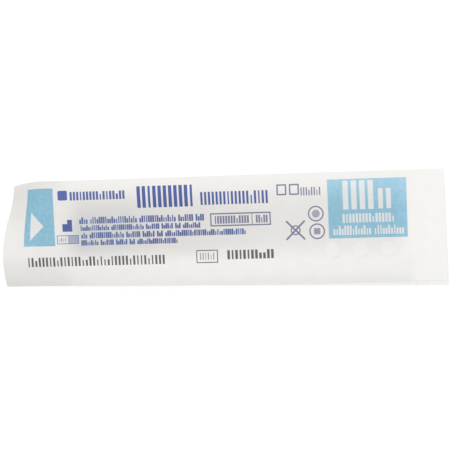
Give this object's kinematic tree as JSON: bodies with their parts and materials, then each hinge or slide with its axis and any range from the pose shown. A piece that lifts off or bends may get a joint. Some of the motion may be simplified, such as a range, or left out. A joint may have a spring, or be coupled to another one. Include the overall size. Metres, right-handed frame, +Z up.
{
  "type": "sealed hypodermic needle pack",
  "caption": "Peel-open sterile unit pack, a paper lid on a clear formed film pocket, holding a sheathed hypodermic needle with a winged cone hub.",
  "frame": {"origin": "centre of the pack's outline, at the level of the table that the pocket's floor rests on", "axes": "+X along the pack from the unsealed peel tab to the far seal, +Y across it from the lower edge to the upper edge of the print, +Z up out of the paper lid"},
  "size_m": [0.0864, 0.022, 0.0084],
  "materials": {
    "lid_paper": "coated medical paper, printed",
    "clear_film": "clear thermoformed film",
    "natural_sheath": "natural polypropylene, milky and see-through",
    "blue_hub": "deep blue moulded polypropylene",
    "needle_steel": "drawn stainless tube, ground point",
    "cured_adhesive": "cured clear adhesive"
  },
  "bodies": {
    "root": {"paper_lid": "lid_paper", "film_blister": "clear_film", "needle_sheath": "natural_sheath", "needle_hub": "blue_hub", "cannula": "needle_steel", "adhesive_bead": "cured_adhesive"}
  },
  "joints": []
}
